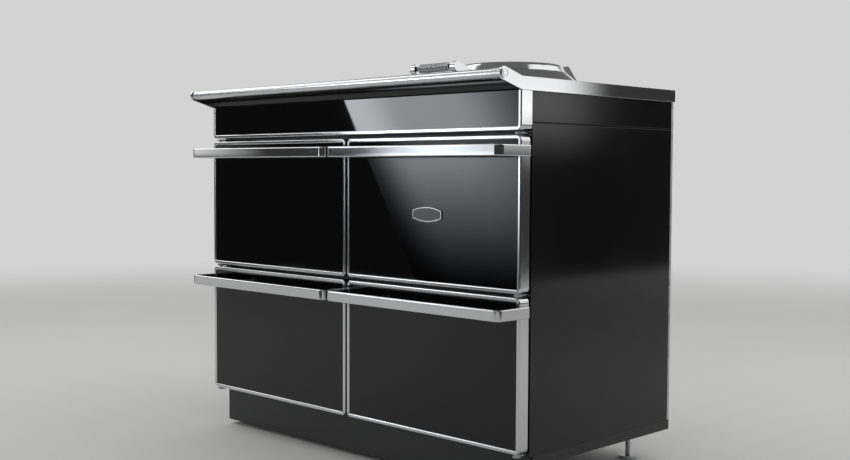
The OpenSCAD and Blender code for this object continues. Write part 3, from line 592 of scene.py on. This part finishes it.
def lining_piece(k):
    """The pressed steel skin over a door's plug, with a shallow groove round its middle field."""
    middle, width, height = door_middle(k)
    wide = width - 2 * OVEN_SIDE - 2 * PLUG_GAP + 2 * LINING_SKIN
    high = height - 2 * OVEN_EDGE - 2 * PLUG_GAP + 2 * LINING_SKIN
    back = DOOR_DEPTH + PLUG_DEPTH
    fillet = [
        (LINING_ROUND * (1 - math.sin(a)), back + LINING_SKIN - LINING_ROUND * (1 - math.cos(a)))
        for a in (math.pi / 2 * (1 - i / LINING_ROUND_STEPS) for i in range(LINING_ROUND_STEPS + 1))
    ]
    field = [(FIELD_IN + inset, back + LINING_SKIN * share) for inset, share in FIELD_STEPS]
    rings = []
    for inset, depth in [(0, DOOR_DEPTH)] + fillet + field:
        corner = max(OVEN_CORNER - inset, LINING_LEAST_CORNER)
        ring = outline(wide - 2 * inset, high - 2 * inset, corner)
        rings.append([middle + p + Vector((0, depth, 0)) for p, _ in ring])
    mesh = tube_mesh("door_lining_" + k, rings)
    add_piece("door_lining_" + k, mesh, FINISHES["door_inside"], "door_" + k)


def seal_path(width, height):
    """Points along the middle of a door's seal, with the way out at each point."""
    mouth_w, mouth_h = width - 2 * OVEN_SIDE, height - 2 * OVEN_EDGE
    run = outline(mouth_w + 2 * SEAL_OUT + SEAL_WIDTH, mouth_h + 2 * SEAL_OUT + SEAL_WIDTH,
                  OVEN_CORNER + SEAL_OUT + SEAL_WIDTH / 2, steps=SEAL_CORNER_STEPS)
    path = []
    for i, (p, out) in enumerate(run):
        q, next_out = run[(i + 1) % len(run)]
        pieces = max(1, round((q - p).length / (STRAND_LENGTH / STRAND_STEPS)))
        for j in range(pieces):
            t = j / pieces
            path.append((p.lerp(q, t), out.lerp(next_out, t).normalized()))
    return path


def seal_section(half, depth):
    """The seal's cross-section: [way across, height above the door] with rounded corners."""
    inner = half - SEAL_ROUND
    section = [(-half, 0.0)]
    for sign in (-1, 1):
        for i in range(4):
            a = math.pi / 2 * i / 3
            a = a if sign < 0 else math.pi / 2 - a
            across = sign * (inner + SEAL_ROUND * math.cos(a))
            section.append((across, depth - SEAL_ROUND + SEAL_ROUND * math.sin(a)))
        if sign < 0:
            section += [(half * t, depth) for t in (-0.5, -0.17, 0.17, 0.5)]
    section.append((half, 0.0))
    return section


def seal_piece(k):
    """A flat braided rope round the door's plug: strands cross over its back and sides."""
    middle, width, height = door_middle(k)
    depth = SEAL_DEPTH + SEAL_PROUD
    path = seal_path(width, height)
    section = seal_section(SEAL_WIDTH / 2 + SEAL_COVER, depth)
    rings, along = [], 0.0
    for i, (p, out) in enumerate(path):
        along += (p - path[i - 1][0]).length if i else 0
        ring = []
        for j, (across, up) in enumerate(section):
            phase = TAU * along / STRAND_LENGTH
            weave = math.sin(phase + j * STRAND_SHIFT) * math.sin(phase - j * STRAND_SHIFT)
            drop = STRAND_RELIEF * 0.5 * (1 - weave) * (0 if up == 0 else RELIEF_SHARE)
            sunk = drop * (up > depth - SEAL_ROUND) * BACK_SHARE
            ring.append(middle + p + out * (across - math.copysign(drop * SIDE_SHARE, across))
                        + Vector((0, DOOR_DEPTH + up - sunk, 0)))
        rings.append(ring)
    mesh = tube_mesh("door_seal_" + k, rings, closed=True)
    add_piece("door_seal_" + k, mesh, ROPE, "door_" + k)


def screw_rings(place, out):
    """Rings of a round-headed screw with a six-sided socket, from its rim to the socket's floor."""
    side = Vector((0, 0, 1))
    other = out.cross(side)
    rings = [[(SCREW_RADIUS * r, h)] * SCREW_STEPS for r, h in SCREW_HEAD]
    hexagon = []
    for k in range(SCREW_STEPS):
        a = TAU * (k % 4) / SCREW_STEPS - math.pi / 6
        hexagon.append(SCREW_RADIUS * SOCKET_SHARE * math.cos(math.pi / 6) / math.cos(a))
    floor_share, floor_height = SOCKET_FLOOR
    rings += [[(r, 1.0) for r in hexagon], [(r * floor_share, floor_height) for r in hexagon]]
    ways = []
    for k in range(SCREW_STEPS):
        a = TAU * k / SCREW_STEPS
        ways.append(math.cos(a) * side + math.sin(a) * other)
    return [[place + way * r + out * SCREW_HEIGHT * h for way, (r, h) in zip(ways, ring)] for ring in rings]


def screws_piece(name, places, out, finish, body):
    """Several screws as one piece."""
    made = bmesh.new()
    for place in places:
        part = tube_mesh(name + "_part", screw_rings(place, out))
        made.from_mesh(part)
        bpy.data.meshes.remove(part)
    mesh = bpy.data.meshes.new(name)
    made.to_mesh(mesh)
    made.free()
    add_piece(name, mesh, finish, body)


def case_screws():
    """Eight screws round each oven's mouth, outside the seal."""
    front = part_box("front_frame")[0].y
    for k in CORNERS:
        middle, width, height = door_middle(k)
        reach_x = width / 2 - OVEN_SIDE + SEAL_OUT + SEAL_WIDTH + SCREW_OUT
        reach_z = height / 2 - OVEN_EDGE + SEAL_OUT + SEAL_WIDTH + SCREW_OUT
        at_sides = [(x, z) for x in (-1, 1) for z in (-0.5, 0.5)]
        at_ends = [(x, z) for x in (-0.5, 0.5) for z in (-1, 1)]
        places = [
            Vector((middle.x + x * reach_x, front, middle.z + z * reach_z)) for x, z in at_sides + at_ends
        ]
        screws_piece("mouth_screws_" + k, places, Vector((0, -1, 0)),
                     FINISHES["foot_steel"], "cabinet")


def thread_piece(k):
    """The screw thread on a foot's stem, between its pad and its lock nut."""
    low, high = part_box("foot_" + k)
    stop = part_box("base_plate")[0].z - THREAD_BELOW_BASE
    axis = Vector(((low.x + high.x) / 2, (low.y + high.y) / 2, 0))
    turns = int((stop - THREAD_START) / THREAD_PITCH)
    rings = []
    for i in range(turns * THREAD_STEPS + 1):
        a = TAU * i / THREAD_STEPS
        out = Vector((math.cos(a), math.sin(a), 0))
        z = THREAD_START + THREAD_PITCH * i / THREAD_STEPS
        rings.append([axis + out * (STEM_RADIUS + r) + Vector((0, 0, z + up)) for r, up in THREAD_RIDGE])
    mesh = tube_mesh("foot_thread_" + k, rings)
    add_piece("foot_thread_" + k, mesh, FINISHES["foot_steel"], "cabinet")


def add_camera():
    data = bpy.data.cameras.new("camera")
    data.sensor_width = SENSOR
    data.lens = FOCAL_PIXELS * SENSOR / IMAGE_WIDTH
    data.clip_start = CLIP_START
    camera = bpy.data.objects.new("camera", data)
    bpy.context.scene.collection.objects.link(camera)
    ahead = Vector((
        -math.sin(CAMERA_YAW) * math.cos(CAMERA_PITCH),
        math.cos(CAMERA_YAW) * math.cos(CAMERA_PITCH),
        -math.sin(CAMERA_PITCH),
    ))
    right = Vector((math.cos(CAMERA_YAW), math.sin(CAMERA_YAW), 0))
    down = ahead.cross(right)
    across = math.cos(CAMERA_ROLL) * right + math.sin(CAMERA_ROLL) * down
    below = -math.sin(CAMERA_ROLL) * right + math.cos(CAMERA_ROLL) * down
    turned = Matrix((across, -below, -ahead)).transposed().to_4x4()
    turned.translation = CAMERA_PLACE
    camera.matrix_world = turned
    bpy.context.scene.camera = camera


def flat_card(name, corners, material):
    """A studio surface from its corners."""
    mesh = bpy.data.meshes.new(name)
    made = bmesh.new()
    made.faces.new([made.verts.new(c) for c in corners])
    made.to_mesh(mesh)
    made.free()
    card = bpy.data.objects.new(name, mesh)
    bpy.context.scene.collection.objects.link(card)
    mesh.materials.append(material)
    return card


def mirror_card(name, corners, material):
    """A card that only reflections show: it doesn't take the room's light off the cooker or the floor."""
    card = flat_card(name, corners, material)
    card.visible_camera = False
    card.visible_diffuse = False
    card.visible_shadow = False
    return card


def floor_material():
    """Pale floor that turns into the room's own tone far from the cooker, so that no horizon shows."""
    finish = Finish("floor_finish", (0.62, 0.62, 0.61), roughness=0.75)
    patch = finish.noise(1.5, detail=4)
    finish.set("Base Color", finish.colours(patch, (0.60, 0.60, 0.59), (0.64, 0.64, 0.63)))
    glow = finish.nodes.new("ShaderNodeEmission")
    glow.inputs["Color"].default_value = ROOM_COLOUR
    glow.inputs["Strength"].default_value = ROOM_LEVEL
    join = finish.nodes.new("ShaderNodeMixShader")
    finish.feed(join.inputs[0], finish.remap(finish.radius(0, 0), *FLOOR_FADE, smooth=True))
    finish.feed(join.inputs[1], finish.shader.outputs[0])
    finish.feed(join.inputs[2], glow.outputs[0])
    finish.links.new(join.outputs[0], finish.nodes["Material Output"].inputs["Surface"])
    return finish.material


def add_floor():
    turns = [TAU * k / FLOOR_STEPS for k in range(FLOOR_STEPS)]
    ring = [(FLOOR_RADIUS * math.cos(a), FLOOR_RADIUS * math.sin(a), 0) for a in turns]
    flat_card("studio_floor", ring, floor_material())


def add_room():
    world = bpy.data.worlds.new("room")
    bpy.context.scene.world = world
    world.use_nodes = True
    air = world.node_tree.nodes["Background"]
    air.inputs["Color"].default_value = ROOM_COLOUR
    air.inputs["Strength"].default_value = ROOM_LEVEL


# Soft box at the front left, on the plane where the glass fronts look
BOX_PLANE = -3.25
BOX_SLANT = -0.596
BOX_EDGE_AT_FLOOR = -2.725
BOX_RIGHT = -1.80
BOX_LOW, BOX_HIGH = 0.02, 1.62
BOX_PEAK = 9.5
BOX_SPLIT = 0.91
BOX_SPLIT_BLUR = 0.015
BOX_JOINT = (0.785, 0.90)
BOX_COLOUR = (0.95, 1.0, 1.07, 1)

# Fades of the soft box's light, each from one place to another and from one share to another.
# Places are distances inside its slanted edge, and for LOWER_RISE heights
UPPER_FADES = ((0.1, 0.5, 1.0, 0.62), (0.9, 1.5, 1.0, 0.2))
LOWER_FADES = ((0.0, 0.42, 0.05, 0.62), (0.7, 1.5, 1.0, 0.45))
LOWER_RISE = (0.0, 0.85, 0.0, 1.0)
JOINT_SHARE = (0.1, 0.7, 0.02, 0.25)

# Dark cards that reflections show
FLAG_DARK = 0.025
FLAG_LEVEL = 0.9
RIGHT_PEAK = 1.7
STRIP_LEVEL = 0.95
LEFT_LEVEL = 0.3
CEILING_Z = 3.7
CEILING_LEVEL = 0.16
CEILING_VARIATION = 0.8
CARD_FOOT = 0.01
FRONT_Y = BOX_PLANE - 0.35
FRONT_ENDS = (-7.0, 6.0)
LEFT_X = -4.5
RIGHT_X = 3.6
BACK_Y = 9.0
BACK_END = -1.2
ROOF_ENDS = (-6.0, 5.0)
ROOF_BACK = 7.0

# Where the cards' glow rises or falls, from one place to another, along Y or up
FRONT_RISE = (1.6, 2.6)
LEFT_RISE = (-0.5, 2.0)
STRIP_ALONG = ((-3.6, -3.0), (-2.7, -2.5))
STRIP_UP = ((0.79, 0.81), (0.87, 0.89))
RIGHT_ALONG = ((1.6, 2.6), (3.75, 4.35))
RIGHT_UP = ((0.72, 1.15), (1.16, 1.24))
RIGHT_TOP_SHARE = 0.76

# Lamps: place, the point that they face, the way their second side lies, both sides, and power
LID_LAMP = ((1.75, 1.6, 2.3), (0.27, 0.05, 0.95), (-0.4, 0.86, -0.3), (1.3, 4.0), 19)
RAIL_LAMP = ((-2.3, -0.7, 3.0), (0, -0.2, 0.9), (0, 1, 0), (2.8, 1.7), 25)


def softbox_material():
    """Two panels with a dim joint between them. Their light falls off to the right and downwards."""
    finish = Finish("softbox_light", (0, 0, 0))
    finish.nodes.remove(finish.shader)
    x, z = finish.axis("X"), finish.axis("Z")
    slant = finish.math("MULTIPLY", z, -BOX_SLANT)
    inside = finish.math("SUBTRACT", finish.math("ADD", x, slant), BOX_EDGE_AT_FLOOR)
    upper, lower = (
        finish.math("MULTIPLY", *(finish.remap(inside, *fade, smooth=True) for fade in fades))
        for fades in (UPPER_FADES, LOWER_FADES)
    )
    fade = finish.remap(z, *LOWER_RISE)
    lower = finish.math("MULTIPLY", lower, finish.math("MULTIPLY", fade, fade))
    joint = finish.math("MULTIPLY", finish.math("GREATER_THAN", z, BOX_JOINT[0]),
                        finish.math("LESS_THAN", z, BOX_JOINT[1]))
    dim = finish.math("SUBTRACT", 1.0, finish.remap(inside, *JOINT_SHARE))
    left_over = finish.math("SUBTRACT", 1.0, finish.math("MULTIPLY", joint, dim))
    lower = finish.math("MULTIPLY", lower, left_over)
    high = finish.remap(z, BOX_SPLIT - BOX_SPLIT_BLUR, BOX_SPLIT + BOX_SPLIT_BLUR, smooth=True)
    rest = finish.math("SUBTRACT", 1.0, high)
    both = finish.math("ADD", finish.math("MULTIPLY", upper, high), finish.math("MULTIPLY", lower, rest))
    glow = finish.nodes.new("ShaderNodeEmission")
    glow.inputs["Color"].default_value = BOX_COLOUR
    finish.feed(glow.inputs["Strength"], finish.math("MULTIPLY", both, BOX_PEAK))
    finish.links.new(glow.outputs[0], finish.nodes["Material Output"].inputs["Surface"])
    return finish.material


def add_softbox():
    def edge(z):
        return BOX_EDGE_AT_FLOOR + BOX_SLANT * z
    corners = [
        (edge(BOX_LOW), BOX_PLANE, BOX_LOW), (BOX_RIGHT, BOX_PLANE, BOX_LOW),
        (BOX_RIGHT, BOX_PLANE, BOX_HIGH), (edge(BOX_HIGH), BOX_PLANE, BOX_HIGH),
    ]
    mirror_card("studio_softbox", corners, softbox_material())


def flag_material(name, glow):
    """Dark cloth with a soft glow, whose strength glow(finish) gives."""
    finish = Finish(name, (0.012, 0.012, 0.012), roughness=0.95)
    weave = finish.noise(300, detail=2)
    finish.set("Base Color", finish.colours(weave, (0.008, 0.008, 0.008), (0.016, 0.016, 0.016)))
    finish.set("Emission Color", (1, 1, 1, 1))
    finish.set("Emission Strength", glow(finish))
    return finish.material


def front_glow(finish):
    """Rises above the height that the fronts look at."""
    return finish.remap(finish.axis("Z"), *FRONT_RISE, FLAG_DARK, FLAG_LEVEL, smooth=True)


def left_glow(finish):
    """The front's glow, lighter to the back, with a strip light for the left door handles."""
    y, z = finish.axis("Y"), finish.axis("Z")
    along = finish.math("MULTIPLY", finish.remap(y, *STRIP_ALONG[0]),
                        finish.remap(y, *STRIP_ALONG[1], 1.0, 0.0))
    up = finish.math("MULTIPLY", finish.remap(z, *STRIP_UP[0]), finish.remap(z, *STRIP_UP[1], 1.0, 0.0))
    strip = finish.math("MULTIPLY", finish.math("MULTIPLY", along, up), STRIP_LEVEL)
    side = finish.remap(y, *LEFT_RISE, 0.0, LEFT_LEVEL, smooth=True)
    return finish.math("MAXIMUM", finish.math("MAXIMUM", strip, side), front_glow(finish))


def right_glow(finish):
    """A soft band of light at the back right, for the cooker's side and the worktop's rim."""
    y, z = finish.axis("Y"), finish.axis("Z")
    along = finish.math("MULTIPLY", finish.remap(y, *RIGHT_ALONG[0], smooth=True),
                        finish.remap(y, *RIGHT_ALONG[1], 1.0, 0.0, smooth=True))
    up = finish.math("MULTIPLY", finish.remap(z, *RIGHT_UP[0], 0.0, RIGHT_PEAK, smooth=True),
                     finish.remap(z, *RIGHT_UP[1], 1.0, RIGHT_TOP_SHARE, smooth=True))
    return finish.math("MAXIMUM", finish.math("MULTIPLY", along, up), FLAG_DARK)


def ceiling_glow(finish):
    """Faint and slightly uneven."""
    low = CEILING_LEVEL * CEILING_VARIATION
    return finish.remap(finish.noise(0.6, detail=1), 0.3, 0.7, low, CEILING_LEVEL)


def upright_card(name, start, stop, material):
    """A card that stands on the floor between two points and reaches the ceiling."""
    low, high = CARD_FOOT, CEILING_Z
    mirror_card(name, [(*start, low), (*stop, low), (*stop, high), (*start, high)], material)


def add_flags():
    """Dark cards round the cooker, so that its black fronts and its steel reflect a dark studio."""
    front = flag_material("flag_front", front_glow)
    upright_card("studio_flag_front", (FRONT_ENDS[0], FRONT_Y), (FRONT_ENDS[1], FRONT_Y), front)
    upright_card("studio_flag_left", (LEFT_X, FRONT_Y), (LEFT_X, BACK_Y),
                 flag_material("flag_left", left_glow))
    upright_card("studio_flag_back", (LEFT_X, BACK_Y), (BACK_END, BACK_Y), front)
    upright_card("studio_flag_right", (RIGHT_X, FRONT_Y), (RIGHT_X, BACK_Y),
                 flag_material("flag_right", right_glow))
    left, right = ROOF_ENDS
    roof = [(left, FRONT_Y), (right, FRONT_Y), (right, ROOF_BACK), (left, ROOF_BACK)]
    mirror_card("studio_ceiling", [(*point, CEILING_Z) for point in roof],
                flag_material("flag_ceiling", ceiling_glow))


def add_lamp(name, place, target, along, size, power):
    """A soft rectangular lamp that faces a point. Its second side lies nearest to a direction."""
    data = bpy.data.lights.new(name, "AREA")
    data.shape = "RECTANGLE"
    data.size, data.size_y = size
    data.energy = power
    lamp = bpy.data.objects.new(name, data)
    bpy.context.scene.collection.objects.link(lamp)
    back = (Vector(place) - Vector(target)).normalized()
    across = Vector(along).cross(back).normalized()
    turned = Matrix((across, back.cross(across), back)).transposed().to_4x4()
    turned.translation = place
    lamp.matrix_world = turned
    lamp.visible_camera = False


def add_lamps():
    """A long lamp at the upper right, for the lid, and one at the upper left, for the rail."""
    add_lamp("lid_lamp", *LID_LAMP)
    add_lamp("rail_lamp", *RAIL_LAMP)


add_camera()
dress_nodes()
soften_edges()
lid_coil_piece()
for corner in CORNERS:
    lining_piece(corner)
    seal_piece(corner)
for foot in ("fl", "fr", "bl", "br"):
    thread_piece(foot)
case_screws()
add_floor()
add_room()
add_softbox()
add_flags()
add_lamps()
bpy.context.scene.view_settings.view_transform = "Standard"
